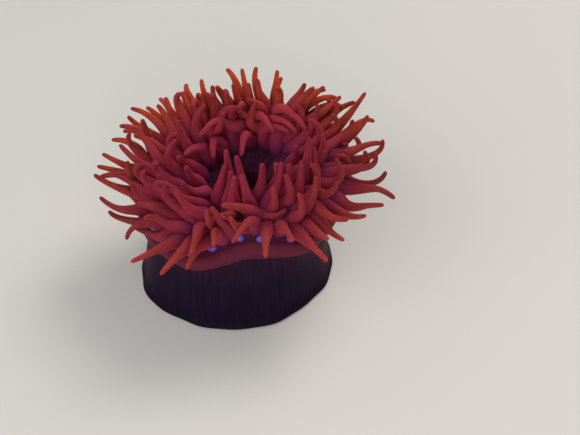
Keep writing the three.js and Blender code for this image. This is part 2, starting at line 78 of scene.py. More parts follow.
# Tracts of tentacles that lie the same way, fading out round the disc from their middle
combs = [
    # back: short and upright, the inner rows tipped in over the disc
    {"at": 96, "width": 34, "rows": [0], "lean": 4, "curl": -20},
    {"at": 96, "width": 34, "rows": [1], "lean": -36, "curl": -10},
    {"at": 92, "width": 32, "rows": [2], "lean": -48, "curl": -10, "length": 0.85},
    {"at": 90, "width": 30, "rows": [3], "lean": -50, "length": 0.78},
    {"at": 90, "width": 30, "rows": [4], "lean": -32, "heading": 8, "curl": -10, "length": 0.82},
    # back left: arched outward and down
    {"at": 134, "width": 20, "rows": [4], "lean": -8, "heading": -14, "curl": 40, "length": 0.88},
    {"at": 150, "width": 24, "rows": [3], "heading": -12, "curl": 40},
    {"at": 150, "width": 30, "rows": [1, 2], "lean": -8, "curl": -10},
    # left: combed back
    {"at": 186, "width": 36, "rows": [4], "heading": -16, "curl": -10},
    {"at": 186, "width": 26, "rows": [1, 2, 3], "heading": -12, "curl": -10},
    # back right: arches to the right, the inner rows held off the mouth
    {"at": 48, "width": 16, "rows": [3, 4], "heading": -24, "curl": 30, "length": 0.96},
    {"at": 50, "width": 20, "rows": [1, 2], "lean": 6, "heading": -30, "curl": 50},
    {"at": 36, "width": 36, "rows": [0], "lean": 42},
    {"at": 20, "width": 14, "rows": [3, 4], "curl": -20},
    # right: out and up again
    {"at": 352, "width": 22, "rows": [3, 4], "lean": 2, "heading": 4, "curl": -20, "length": 1.15},
    {"at": 350, "width": 40, "rows": [0, 1, 2], "lean": 10, "curl": -60},
    # front right: long and straight
    {"at": 318, "width": 20, "rows": [3, 4], "lean": 8, "heading": -8, "curl": -10, "length": 1.2},
    # front: the inner rows upright, the outer ones drooping and hooked
    {"at": 275, "width": 30, "rows": [0], "lean": 25, "heading": 50},
    {"at": 285, "width": 34, "rows": [1], "lean": 6, "heading": 20},
    {"at": 280, "width": 32, "rows": [2], "lean": -16, "heading": 12, "curl": -10},
    {"at": 268, "width": 34, "rows": [3], "lean": -20, "heading": 6},
    {"at": 268, "width": 34, "rows": [4], "lean": -10, "curl": 30, "length": 1.1},
    # front left: swept round to the left
    {"at": 222, "width": 26, "rows": [1], "lean": 16, "heading": -46, "curl": -10},
    {"at": 225, "width": 28, "rows": [2], "lean": -6, "heading": -46, "curl": -10},
    {"at": 220, "width": 26, "rows": [3], "lean": -12, "heading": -36, "curl": -10},
]
# Single tentacles that lie their own way
posed = [
    # upright in front of the mouth
    {"row": 0, "at": 236, "lean": 14, "heading": 350},
    {"row": 0, "at": 251, "lean": 10, "heading": 60, "length": 1.1},
    {"row": 0, "at": 274, "lean": 16, "heading": 350, "curl": -10},
    {"row": 0, "at": 297, "lean": 12, "heading": 325, "curl": -20},
    {"row": 0, "at": 313, "lean": 23, "heading": 330, "curl": -20},
    {"row": 1, "at": 237, "lean": 28, "heading": 200, "curl": -10},
    {"row": 1, "at": 255, "lean": 8, "heading": 340},
    {"row": 1, "at": 270, "lean": 11, "heading": 90, "curl": -10},
    {"row": 1, "at": 287, "lean": 26, "heading": 300, "curl": -30},
    {"row": 1, "at": 300, "lean": 16, "heading": 340},
    {"row": 1, "at": 322, "lean": 17, "heading": 0, "curl": -10, "length": 1.15},
    {"row": 2, "at": 246, "lean": 24, "heading": 200, "curl": -20, "length": 1.1},
    {"row": 2, "at": 262, "lean": 10, "heading": 315, "curl": 10},
    {"row": 2, "at": 272, "lean": 8, "heading": 290, "curl": -20},
    {"row": 2, "at": 287, "lean": 22, "heading": 25, "curl": -20},
    {"row": 2, "at": 297, "lean": 15, "heading": 330, "curl": -30},
    {"row": 2, "at": 309, "lean": 16, "heading": 340, "curl": -10},
    {"row": 0, "at": 335, "lean": 34, "heading": 340, "curl": -20},
    {"row": 0, "at": 359, "lean": 20, "heading": 280, "length": 0.8},
    # folded over the mouth from the back
    {"row": 0, "at": 61, "lean": 44, "heading": 310, "curl": 60, "length": 0.9},
    {"row": 0, "at": 85, "lean": 57, "heading": 264, "curl": 40},
    {"row": 0, "at": 124, "lean": 50, "heading": 268, "curl": 60, "length": 0.9},
    {"row": 0, "at": 144, "lean": 42, "heading": 250, "curl": 30},
    {"row": 0, "at": 174, "lean": 24, "heading": 250, "curl": 10, "length": 0.9},
    {"row": 0, "at": 190, "lean": 26, "heading": 270},
    {"row": 0, "at": 212, "lean": 26, "heading": 248, "curl": -10},
    {"row": 1, "at": 92, "lean": 57, "heading": 226, "curl": 40, "length": 1.15},
    {"row": 1, "at": 107, "lean": 50, "heading": 350, "curl": 90, "twist": -10},
    {"row": 1, "at": 75, "lean": 56, "heading": 300, "curl": 80},
    {"row": 1, "at": 58, "lean": 56, "heading": 305, "curl": 60},
    {"row": 2, "at": 54, "lean": 62, "heading": 315, "curl": 90, "twist": -20, "length": 1.2},
    # arched outward at the back left and the back right
    {"row": 3, "at": 128, "lean": 42, "heading": 108, "curl": 20, "length": 0.75},
    {"row": 4, "at": 135, "lean": 62, "heading": 120, "curl": 50, "length": 0.95},
    {"row": 4, "at": 142, "lean": 64, "heading": 128, "curl": 40, "length": 0.9},
    {"row": 4, "at": 53, "lean": 58, "heading": 15, "curl": 50, "length": 0.98},
    # hooked and forked tips along the back
    {"row": 4, "at": 105, "lean": 44, "heading": 98, "curl": -10, "length": 0.6},
    {"row": 4, "at": 60, "lean": 40, "heading": 80, "curl": 30, "twist": -30, "length": 0.75},
    # swept round at the front, over the bases of the upright ones
    {"row": 3, "at": 252, "lean": 25, "heading": 262, "curl": -20},
    {"row": 3, "at": 258, "lean": 32, "heading": 270, "curl": -10},
    {"row": 3, "at": 271, "lean": 74, "heading": 356, "curl": -20, "length": 0.7},
    {"row": 3, "at": 280, "lean": 34, "heading": 240, "curl": 10, "length": 1.35},
    {"row": 3, "at": 290, "lean": 38, "heading": 10, "curl": -60, "length": 1.45},
    {"row": 3, "at": 299, "lean": 27, "heading": 315, "curl": -40},
    {"row": 3, "at": 309, "lean": 25, "heading": 325, "curl": -20, "length": 1.15},
    {"row": 4, "at": 261, "lean": 22, "heading": 240, "curl": -10},
    {"row": 4, "at": 271, "lean": 35, "heading": 255, "curl": -20},
    # straight out at the left
    {"row": 4, "at": 174, "lean": 68, "heading": 158, "curl": -10, "length": 0.95},
    {"row": 4, "at": 180, "lean": 72, "heading": 162, "curl": 10},
    {"row": 4, "at": 188, "lean": 72, "heading": 164, "curl": -30, "length": 1.08},
    # drooping over the collar
    {"row": 3, "at": 243, "lean": 58, "heading": 260, "curl": 20, "length": 1.1},
    {"row": 4, "at": 195, "lean": 70, "heading": 160, "length": 0.7},
    {"row": 4, "at": 225, "lean": 66, "heading": 186, "curl": -30, "length": 0.75},
    {"row": 4, "at": 232, "lean": 62, "heading": 232, "length": 1.35},
    {"row": 4, "at": 241, "lean": 66, "heading": 244, "curl": 10, "length": 1.3},
    {"row": 4, "at": 247, "lean": 69, "heading": 250, "curl": 20},
    {"row": 4, "at": 255, "lean": 49, "heading": 268, "curl": 30, "length": 1.15},
    {"row": 4, "at": 276, "lean": 56, "heading": 256, "curl": 40, "twist": -20, "length": 1.15},
    {"row": 4, "at": 285, "lean": 67, "heading": 270, "curl": 10, "length": 1.1},
    {"row": 4, "at": 292, "lean": 58, "heading": 288, "curl": 20},
    {"row": 4, "at": 299, "lean": 72, "heading": 295, "length": 1.38},
    {"row": 4, "at": 308, "lean": 64, "heading": 294, "curl": -10, "length": 1.15},
    {"row": 4, "at": 313, "lean": 71, "heading": 298, "curl": -10, "length": 1.25},
    {"row": 4, "at": 323, "lean": 66, "heading": 311, "curl": -20, "length": 1.35},
]

# A tentacle thins by its fall toward the tip, and its root is pinched where it leaves the disc
taper = {"fall": 0.76, "bend": 0.85, "pinch": 0.12, "pinchLength": 0.15}
# How far a tentacle may stray from its row either way, and the seed that the draw adds to its number
stray = {"angle": (0.22, 0), "lean": (12, 11), "heading": (12, 23), "curl": (34, 37), "twist": (36, 41),
         "hook": (60, 79), "length": (0.12, 53), "thick": (0.06, 67)}
# Tentacles are laid as chains of links, which then settle in rounds. A tract is whole within half
# its width of its middle and gone at the fade. "Give" is how freely the first two knots move, and
# "hold" is how strongly a chain is drawn back to where it would lie by itself.
laying = {"links": 7, "rounds": 60, "combFade": 1.5, "hookFrom": 0.55, "hookOver": 0.45,
          "clearance": 0.3, "near": 5.0, "rootGive": 0.3, "firstGive": 0.6, "push": 1.2,
          "hold": 0.02, "firmHold": 0.06, "evening": 0.12,
          "foldRadius": 17.7, "foldHeight": 18.7, "foldSize": 1.35, "beadPush": 0.6, "discReach": 14.0}
scattering = {"step": 12.9898, "start": 4.1, "spread": 43758.5453}
numbering = {"row": 61, "place": 7, "first": 1}  # gives each tentacle a number of its own
tiny = 1e-9  # keeps a division from zero


def ease(t):
    t = np.clip(t, 0.0, 1.0)
    return t * t * (3 - 2 * t)


def easeFrom(value, start, over):
    return ease((value - start) / over)


def aside(a, b):  # the angle between two directions
    return abs((a - b + 180) % 360 - 180)


def scatter(n):  # a number from -1 to 1 that looks random and is always the same for the same n
    wave = sin(n * scattering["step"] + scattering["start"]) * scattering["spread"]
    return (wave - np.floor(wave)) * 2 - 1


def polar(radius, angle, z):
    return np.array([radius * cos(radians(angle)), radius * sin(radians(angle)), z])


def dentAt(angle):  # 1 in the middle of the dent, 0 away from it
    return ease(1 - aside(angle, crown["dentAt"]) / crown["dentWidth"])


def bulgeAt(angle, height=crown["height"]):  # how many times its round radius the body reaches
    bulge = crown["bulge"] * np.cos(np.radians(angle - crown["bulgeToward"]))
    return 1 + bulge - crown["dent"] * dentAt(angle) * easeFrom(height, crown["dentFrom"], crown["dentOver"])


def swell(points):  # bulges and dents the round body and sets the mouth off its middle
    radius = np.hypot(points[:, 0], points[:, 1])
    angle = np.degrees(np.arctan2(points[:, 1], points[:, 0]))
    outShare = easeFrom(radius, crown["bulgeFrom"], crown["bulgeOver"])
    factor = 1 + (bulgeAt(angle, points[:, 2]) - 1) * outShare
    moved = points * np.stack([factor, factor, np.ones(len(points))], axis=1)
    discShare = 1 - easeFrom(radius, crown["discFrom"], crown["discOver"])
    moved[:, :2] += np.outer(discShare, crown["discShift"])
    riseShare = easeFrom(radius, crown["riseFrom"], crown["riseOver"])
    upShare = easeFrom(points[:, 2], crown["riseFromHeight"], crown["riseOverHeight"])
    moved[:, 2] += crown["rise"] * dentAt(angle) * riseShare * upShare
    return moved


def nodOver(points):  # tips the upright crown over and shifts it off the foot
    share = easeFrom(points[:, 2], crown["nodFrom"], crown["height"] - crown["nodFrom"])
    turn = share * radians(crown["nodAngle"])
    toward = radians(crown["nodToward"])
    axis = np.array([-sin(toward), cos(toward), 0.0])
    arm = points - [0, 0, crown["height"]]
    c = np.cos(turn)[:, None]
    s = np.sin(turn)[:, None]
    moved = arm * c + np.cross(axis, arm) * s + axis * (arm @ axis)[:, None] * (1 - c)
    moved += [0, 0, crown["height"]]
    moved[:, 0] += crown["shift"] * ease(points[:, 2] / crown["height"])
    return moved


def discHeight(radius):
    hollow = crown["discDepth"] * (1 - np.minimum(radius / crown["discEdge"], 1) ** 2)
    return crown["height"] - crown["discDrop"] - hollow


def radiusAt(s, thick):  # s runs from the pinched root to the tip
    s = np.maximum(s, 0)
    root = 1 - taper["pinch"] + taper["pinch"] * ease(s / taper["pinchLength"])
    return thick / 2 * (1 - taper["fall"] * s ** taper["bend"]) * root


beadAngles = np.arange(beads["count"]) * 360 / beads["count"] + beads["turn"]
beadCentres = swell(np.array([polar(beads["ring"], a, beads["height"]) for a in beadAngles]))


def strayed(number, key):
    reach, seed = stray[key]
    return reach * scatter(number + seed)


def poseOf(row, i):
    spec = rows[row]
    number = row * numbering["row"] + i * numbering["place"] + numbering["first"]
    spacing = 360 / spec["count"]
    angle = spacing * (i + 0.5 * (row % 2)) + strayed(number, "angle") * spacing
    pose = {"row": row, "angle": angle, "number": number,
            "lean": spec["lean"] + strayed(number, "lean"),
            "heading": angle + strayed(number, "heading"),
            "curl": spec["curl"] + strayed(number, "curl"),
            "twist": strayed(number, "twist"),
            "hook": strayed(number, "hook"),
            "length": spec["length"] * (1 + strayed(number, "length")),
            "thick": spec["thick"] * (1 + strayed(number, "thick"))}
    for comb in combs:
        if row in comb["rows"]:
            share = ease(laying["combFade"] - aside(angle, comb["at"]) / comb["width"])
            for key in ("lean", "heading", "curl"):
                pose[key] += comb.get(key, 0) * share
            pose["length"] *= 1 + (comb.get("length", 1) - 1) * share
    pose["root"] = swell(polar(spec["radius"], angle, crown["height"] + spec["lift"])[None])[0]
    return pose


def allTentacles():
    laid = [[poseOf(row, i) for i in range(spec["count"])] for row, spec in enumerate(rows)]
    for own in posed:
        nearest = min(laid[own["row"]], key=lambda pose: aside(pose["angle"], own["at"]))
        nearest.update({"curl": 0, "twist": 0, "hook": 0, "firm": True})
        nearest.update({key: own[key] for key in ("lean", "heading", "curl", "twist") if key in own})
        nearest["length"] = rows[own["row"]]["length"] * own.get("length", 1)
    return [pose for row in laid for pose in row]


def freeChain(pose):  # as the tentacle would lie with nothing in its way
    links = laying["links"]
    points = [pose["root"]]
    for k in range(1, links + 1):
        s = (k - 0.5) / links
        hook = pose["hook"] * easeFrom(s, laying["hookFrom"], laying["hookOver"])
        lean = radians(pose["lean"] + pose["curl"] * (2 * s - 1) + hook)
        heading = radians(pose["heading"] + pose["twist"] * (2 * s - 1))
        step = np.array([sin(lean) * cos(heading), sin(lean) * sin(heading), cos(lean)])
        points.append(points[-1] + step * pose["length"] / links)
    return np.array(points)


def clearOfBody(points, radius, knot):  # keeps points off the collar's fold, the beads and the disc
    points = points.copy()
    reach = np.hypot(points[:, 0], points[:, 1]) + tiny
    angle = np.degrees(np.arctan2(points[:, 1], points[:, 0]))
    out = reach - laying["foldRadius"] * bulgeAt(angle)
    up = points[:, 2] - laying["foldHeight"] - crown["rise"] * dentAt(angle)
    away = np.hypot(out, up) + tiny
    overlap = np.maximum(laying["foldSize"] + radius - away, 0) / away * (knot > 1)
    points[:, 0] += overlap * out * points[:, 0] / reach
    points[:, 1] += overlap * out * points[:, 1] / reach
    points[:, 2] += overlap * up
    shove = np.zeros_like(points)
    for centre in beadCentres:
        away = points - centre
        length = np.linalg.norm(away, axis=1)
        overlap = np.maximum(beads["size"] / 2 + radius + laying["clearance"] - length, 0)
        shove += away / length[:, None] * (overlap * laying["beadPush"])[:, None]
    points += shove * (knot > 0)[:, None]
    overDisc = (knot > 1) & (reach < laying["discReach"])
    points[overDisc, 2] = np.maximum(points[overDisc, 2], discHeight(reach[overDisc]) + radius[overDisc])
    return points


def settle(poses):  # tentacles push one another, the beads, the collar and the disc until they nestle
    links = laying["links"]
    chains = np.array([freeChain(pose) for pose in poses])
    targets = chains.copy()
    count = len(poses)
    along = np.arange(links + 1) / links
    radius = np.array([radiusAt(along, pose["thick"]) for pose in poses]).ravel()
    owner = np.repeat(np.arange(count), links + 1)
    knot = np.tile(np.arange(links + 1), count)
    give = np.where(knot == 0, laying["rootGive"], np.where(knot == 1, laying["firstGive"], 1.0))
    step = np.array([pose["length"] for pose in poses])[:, None] / links
    hold = np.array([laying["firmHold" if "firm" in pose else "hold"] for pose in poses])[:, None, None]
    flat = chains.reshape(-1, 3)
    first, second = np.triu_indices(len(flat), 1)
    close = np.linalg.norm(flat[first] - flat[second], axis=1) < laying["near"]
    near = (owner[first] != owner[second]) & close
    first, second = first[near], second[near]
    reachOut = radius[first] + radius[second] + laying["clearance"]
    for _ in range(laying["rounds"]):
        points = chains.reshape(-1, 3)
        push = points[second] - points[first]
        apart = np.linalg.norm(push, axis=1) + tiny
        overlap = reachOut - apart
        hit = overlap > 0
        push = push[hit] * (overlap[hit] * 0.5 / apart[hit])[:, None]  # half for each of the two
        shove = np.zeros_like(points)
        np.add.at(shove, second[hit], push)
        np.subtract.at(shove, first[hit], push)
        touches = np.bincount(first[hit], minlength=len(points))
        touches = touches + np.bincount(second[hit], minlength=len(points))
        shove[knot == 0, 2] = 0
        points = points + shove * (laying["push"] * give / np.maximum(touches, 1))[:, None]
        points = clearOfBody(points, radius, knot)
        chains = points.reshape(count, links + 1, 3)
        chains = chains + (targets - chains) * hold
        drift = chains - targets  # evened out along each tentacle, so that it keeps its curve
        evenDrift = (drift[:, :links - 1] + drift[:, 2:]) * 0.5
        chains[:, 1:links] += (evenDrift - drift[:, 1:links]) * laying["evening"]
        for k in range(1, links + 1):
            link = chains[:, k] - chains[:, k - 1]
            chains[:, k] = chains[:, k - 1] + link / np.linalg.norm(link, axis=1)[:, None] * step
    return chains


poses = allTentacles()
chains = settle(poses)
print("laid", len(poses), "tentacles")

# The camera looks down on the crown from the front. The point named centre falls on the pixel
# named at, counted from the top left corner.
view = {"centre": (2.0, 0.0, 21.0), "at": (246, 173), "pixels": (580, 435), "elevation": 41.0,
        "roll": -3.0, "distance": 290.0, "lens": 100.0, "sensor": 36.0, "clipStart": 0.01}
up = Vector((0, sin(radians(view["elevation"])), cos(radians(view["elevation"]))))
right = Vector((1, 0, 0))
back = right.cross(up)
roll = radians(view["roll"])
right, up = right * cos(roll) + up * sin(roll), up * cos(roll) - right * sin(roll)
perMm = view["pixels"][0] * view["lens"] / view["sensor"] / view["distance"]  # pixels at the centre
aim = Vector(view["centre"])
aim += right * ((view["pixels"][0] / 2 - view["at"][0]) / perMm)
aim -= up * ((view["pixels"][1] / 2 - view["at"][1]) / perMm)
eye = aim + back * view["distance"]
bpy.ops.object.camera_add(location=eye * mm)
camera = bpy.context.object
camera.name = "camera"
camera.matrix_world = Matrix.Translation(eye * mm) @ Matrix((right, up, back)).transposed().to_4x4()
camera.data.lens = view["lens"]
camera.data.sensor_width = view["sensor"]
camera.data.clip_start = view["clipStart"]
bpy.context.scene.camera = camera


def coordsOf(piece):
    co = np.empty(len(piece.data.vertices) * 3)
    piece.data.vertices.foreach_get("co", co)
    return co.reshape(-1, 3)


def setCoords(piece, co):
    piece.data.vertices.foreach_set("co", np.asarray(co).ravel())
    piece.data.update()


def turnedShape(name, sides, outline):
    # a disc at the first radius and height, extruded ring by ring, closed at its middle
    bpy.ops.object.select_all(action="DESELECT")
    radius, height = outline[0]
    bpy.ops.mesh.primitive_circle_add(vertices=sides, radius=radius, location=(0, 0, height),
                                      fill_type="NGON")
    piece = bpy.context.object
    piece.name = name
    bpy.ops.object.transform_apply(location=True, rotation=True, scale=True)
    bpy.ops.object.mode_set(mode="EDIT")
    for nextRadius, nextHeight in outline[1:]:
        bpy.ops.mesh.extrude_region_move(TRANSFORM_OT_translate={"value": (0, 0, nextHeight - height)})
        scale = nextRadius / radius
        bpy.ops.transform.resize(value=(scale, scale, 1), center_override=(0, 0, nextHeight))
        radius, height = nextRadius, nextHeight
    bpy.ops.mesh.merge(type="CENTER")
    bpy.ops.mesh.select_all(action="SELECT")
    bpy.ops.mesh.quads_convert_to_tris()  # so that each face is still flat once the shape is bent
    bpy.ops.mesh.normals_make_consistent(inside=False)
    bpy.ops.object.mode_set(mode="OBJECT")
    return piece


def throughKnots(knots, steps):  # a Catmull-Rom curve with so many steps from each knot to the next
    padded = np.vstack([2 * knots[0] - knots[1], knots, 2 * knots[-1] - knots[-2]])
    points = []
    for k, count in enumerate(steps):
        t = np.linspace(0, 1, count, endpoint=False)[:, None]
        a, b, c, d = padded[k:k + 4]
        bend = (2 * a - 5 * b + 4 * c - d) * t ** 2 + (3 * b - a - 3 * c + d) * t ** 3
        points.append(0.5 * (2 * b + (c - a) * t + bend))
    return np.vstack(points + [knots[-1:]])


# The body's outline from the ground up to the mouth. A knot is its radius, its height and the
# number of rings from it to the next one.
body = {"sides": 160, "smoothBelow": 50.0,
        "foot": [(17.2, 0.0, 2), (17.65, 0.45, 2), (17.25, 1.2, 3), (16.85, 3.0, 4)],
        "column": [(16.5, 8.2, 4), (17.0, 13.5, 2)],
        "collar": [(17.45, 15.1, 2), (18.35, 15.75, 2), (18.95, 16.9, 2), (18.82, 18.1, 2),
                   (18.15, 18.85, 3)],
        "beadGroove": [(17.1, 19.1, 2), (16.55, 19.6, 2)],
        "rim": [(16.1, 20.35, 2), (15.2, 20.75, 2), (14.0, 20.8, 4), (11.6, 20.3, 6)],
        "disc": [(8.0, 18.5, 4), (4.8, 17.2, 2)],
        "lips": [(3.6, 17.05, 2), (2.75, 17.8, 2), (2.05, 18.15, 2)],
        "throat": [(1.5, 17.5, 2), (1.1, 16.3, 2), (0.4, 15.5, 0)]}
# The lips stand round a slit. The foot's edge spreads unevenly, the column is not quite round, the
# collar's fold wavers and the lips are pleated. A wave is its share, its number of crests round the
# axis and its start.
slit = {"reach": 3.6, "fade": 1.2, "narrower": 0.15, "longer": 0.45}
waver = {"foot": 0.011, "footHeight": 5.0, "column": 0.005, "columnTop": 12.0, "columnFade": 3.0,
         "outside": 12.0, "round": [(1, 2, 1.1), (0.8, 5, 2.3), (0.6, 9, 0), (0.4, 17, 4)],
         "fold": 0.1867, "foldRing": 19, "foldRings": 3.5,
         "along": [(1, 4, 0.5), (0.7, 11, 2), (0.4, 19, 0)],
         "lips": 0.05, "lipRadius": 2.6, "lipWidth": 1.6, "pleats": [(1, 12, 0.8), (0.5, 20, 0)]}


def waves(angle, parts):
    return sum(share * np.sin(crests * angle + start) for share, crests, start in parts)


stretches = ("foot", "column", "collar", "beadGroove", "rim", "disc", "lips", "throat")
knots = np.array([knot for stretch in stretches for knot in body[stretch]])
outline = throughKnots(knots[:, :2], knots[:-1, 2].astype(int))
skin = turnedShape("skin", body["sides"], outline.tolist())
co = coordsOf(skin)
radius = np.hypot(co[:, 0], co[:, 1])
angle = np.arctan2(co[:, 1], co[:, 0])
ringOf = np.argmin(np.hypot(radius[:, None] - outline[:, 0], co[:, 2:] - outline[:, 1]), axis=1)
bodyShare = ringOf / (len(outline) - 1)  # 0 at the foot, 1 in the mouth
onLips = ease((slit["reach"] - radius) / slit["fade"])
co[:, 0] *= 1 - slit["narrower"] * onLips
co[:, 1] *= 1 + slit["longer"] * onLips
atFoot = ease(1 - co[:, 2] / waver["footHeight"])
onColumn = ease(1 - (co[:, 2] - waver["columnTop"]) / waver["columnFade"]) * (radius > waver["outside"])
unevenness = waver["foot"] * atFoot + waver["column"] * onColumn * (1 - atFoot)
co[:, :2] *= (1 + waves(angle, waver["round"]) * unevenness)[:, None]
onFold = np.maximum(1 - np.abs(ringOf - waver["foldRing"]) / waver["foldRings"], 0)
co[:, 2] += waver["fold"] * onFold * waves(angle, waver["along"])
onPleats = ease(1 - np.abs(radius - waver["lipRadius"]) / waver["lipWidth"])
co[:, :2] *= (1 + waver["lips"] * waves(angle, waver["pleats"]) * onPleats)[:, None]
bodyCo = nodOver(swell(co))
setCoords(skin, bodyCo * mm)
print("body:", len(skin.data.polygons), "faces")

# One straight tentacle, copied and bent along each chain. Its root springs from inside the disc,
# and its tip is a dome, with the last stations at the cap steps round it.
tentacle = {"sides": 14, "stations": 25, "fineSteps": 12, "spring": 4.0, "sink": 1.2, "springReach": 12.6,
            "broadRoot": 0.12, "slim": 0.28, "slimRate": 1.4, "bluntFrom": 0.7, "blunt": 0.12,
            "uneven": 0.0175, "bumps": (7, 12, 19), "roundTip": 0.05, "tipFlat": 0.03, "sideways": 0.9,
            "capShare": 0.75, "capSteps": (0.5, 0.78, 0.94, 1.0), "crowding": 0.25}


def smoothPath(knots, count):  # places along the path, their shares of its length, and its length
    fine = throughKnots(knots, [tentacle["fineSteps"]] * (len(knots) - 1))
    length = np.concatenate([[0], np.cumsum(np.linalg.norm(np.diff(fine, axis=0), axis=1))])
    capLength = tentacle["capShare"] * tentacle["roundTip"]
    cap = capLength * (1 - np.array(tentacle["capSteps"]))
    s = np.linspace(0, 1, count - len(cap))
    s = (s + tentacle["crowding"] * s * (1 - s)) * (1 - capLength)
    s = np.concatenate([s, 1 - cap])
    at = np.stack([np.interp(s * length[-1], length, fine[:, axis]) for axis in range(3)], axis=1)
    return at, s, length[-1]


def pathOf(chain):
    sink = chain[1] - chain[0]
    sink = sink / np.linalg.norm(sink) + [0, 0, tentacle["sink"]]
    spring = chain[0] - sink / np.linalg.norm(sink) * tentacle["spring"]
    reach = tentacle["springReach"] * bulgeAt(degrees(atan2(spring[1], spring[0])))
    spring[:2] *= min(reach / hypot(spring[0], spring[1]), 1)
    path = nodOver(np.vstack([spring, chain]))
    at, share, length = smoothPath(path, tentacle["stations"])
    rootShare = np.linalg.norm(path[1] - path[0]) / length
    return at, (share - rootShare) / (1 - rootShare)


def girthOf(pose, s):
    fullness = 1 + tentacle["broadRoot"] - tentacle["slim"] * ease(s * tentacle["slimRate"])
    fullness += tentacle["blunt"] * easeFrom(s, tentacle["bluntFrom"], 1 - tentacle["bluntFrom"])
    girth = radiusAt(s, pose["thick"]) * fullness
    bumps = sum(np.sin(s * f + scatter(pose["number"] + f) * pi) / f for f in tentacle["bumps"])
    girth = girth * (1 + tentacle["uneven"] * (bumps * tentacle["bumps"][0]))
    tip = np.clip(1 - (1 - s) / tentacle["roundTip"], 0, 1)
    return girth * np.maximum(np.sqrt(1 - tip ** 2), tentacle["tipFlat"])


def bentTentacle(index, at, girth):
    along = np.gradient(at, axis=0)
    along /= np.linalg.norm(along, axis=1)[:, None]
    side = np.array([0, 1.0, 0])
    if abs(along[0][0]) < tentacle["sideways"]:
        side = np.array([1.0, 0, 0])
    piece = template.copy()
    piece.data = template.data.copy()
    piece.name = "tube_%03d" % index
    co = np.empty((len(templateCo), 3))
    for k in range(len(at)):
        side = side - along[k] * (side @ along[k])
        side /= np.linalg.norm(side)
        across = np.cross(along[k], side)
        ring = stationOf == k
        co[ring] = at[k] + girth[k] * (np.outer(templateCo[ring, 0], side)
                                       + np.outer(templateCo[ring, 1], across))
    setCoords(piece, co * mm)
    return piece


template = turnedShape("tube", tentacle["sides"], [(1.0, k) for k in range(tentacle["stations"])])
templateCo = coordsOf(template)
stationOf = np.rint(templateCo[:, 2]).astype(int)
tubes = bpy.data.collections.new("tubes")
bpy.context.scene.collection.children.link(tubes)
lines = []
for index, (pose, chain) in enumerate(zip(poses, chains)):
    at, s = pathOf(chain)
    girth = girthOf(pose, s)
    tubes.objects.link(bentTentacle(index, at, girth))
    lines.append((at, s, girth))
bpy.data.objects.remove(template)
print("bent", len(lines), "tentacles")

bpy.ops.object.select_all(action="DESELECT")
skin.select_set(True)
bpy.context.view_layer.objects.active = skin
union = skin.modifiers.new("union", "BOOLEAN")
union.operation = "UNION"
union.operand_type = "COLLECTION"
union.collection = tubes
union.solver = "MANIFOLD"
bpy.ops.object.modifier_apply(modifier="union")
for piece in list(tubes.objects):
    bpy.data.objects.remove(piece)
bpy.data.collections.remove(tubes)

# The small hollows that the tentacles shut in between them are taken out
bpy.ops.object.mode_set(mode="EDIT")
bpy.ops.mesh.select_all(action="DESELECT")
bpy.ops.object.mode_set(mode="OBJECT")
lowest = int(coordsOf(skin)[:, 2].argmin())
skin.data.vertices[lowest].select = True
bpy.ops.object.mode_set(mode="EDIT")
bpy.ops.mesh.select_linked()
bpy.ops.mesh.select_all(action="INVERT")
bpy.ops.mesh.delete(type="VERT")
bpy.ops.object.mode_set(mode="OBJECT")
bpy.ops.object.shade_smooth_by_angle(angle=radians(body["smoothBelow"]))
print("skin:", len(skin.data.polygons), "faces in one piece")

# Each point of the skin is told where it lies: on which tentacle and how far along it, or where
# on the body's outline. A point is on a tentacle when it is within its girth and a little more.
marking = {"perStation": 3, "nearest": 8, "girths": 1.1, "slack": 0.08, "rootFrom": -0.02,
           "atRoot": 0.02, "toneSeed": 5}
tree = kdtree.KDTree(sum(len(at) * marking["perStation"] for at, _, _ in lines))
marks = []
for index, (at, s, girth) in enumerate(lines):
    steps = np.arange(len(at))
    fine = np.linspace(0, len(at) - 1, len(at) * marking["perStation"])
    place = np.stack([np.interp(fine, steps, at[:, axis]) for axis in range(3)], axis=1)
    for point, share, size in zip(place, np.interp(fine, steps, s), np.interp(fine, steps, girth)):
        tree.insert(point, len(marks))
        marks.append((index, share, size))
tree.balance()
bodyTree = kdtree.KDTree(len(bodyCo))
for i, point in enumerate(bodyCo):
    bodyTree.insert(point, i)
bodyTree.balance()
co = coordsOf(skin) / mm
along = np.zeros(len(co))
tone = np.zeros(len(co))
outward = np.zeros(len(co))
for i, point in enumerate(co):
    found = min(tree.find_n(point, marking["nearest"]), key=lambda near: near[2] - marks[near[1]][2])
    index, share, size = marks[found[1]]
    if found[2] < size * marking["girths"] + marking["slack"] and share > marking["rootFrom"]:
        along[i] = max(share, 0.0) * (1 - marking["atRoot"]) + marking["atRoot"]
        tone[i] = 0.5 + 0.5 * scatter(poses[index]["number"] + marking["toneSeed"])
        outward[i] = poses[index]["row"] / (len(rows) - 1)
profile = bodyShare[[bodyTree.find(point)[1] for point in co]]
for name, values in (("along", along), ("tone", tone), ("outward", outward), ("profile", profile)):
    layer = skin.data.attributes.new(name, "FLOAT", "POINT")
    layer.data.foreach_set("value", values)
print("skin marked")


def shaderFor(name, roughness):
    material = bpy.data.materials.new(name)
    material.use_nodes = True
    shader = material.node_tree.nodes["Principled BSDF"]
    shader.inputs["Roughness"].default_value = roughness
    return material, material.node_tree, shader


def letLightIn(shader, look):
    shader.inputs["Subsurface Weight"].default_value = look["subsurface"]
    shader.inputs["Subsurface Radius"].default_value = look["bleed"]
    shader.inputs["Subsurface Scale"].default_value = look["depth"]


def setOrLink(tree, socket, value):
    if isinstance(value, bpy.types.NodeSocket):
        tree.links.new(value, socket)
    else:
        socket.default_value = value


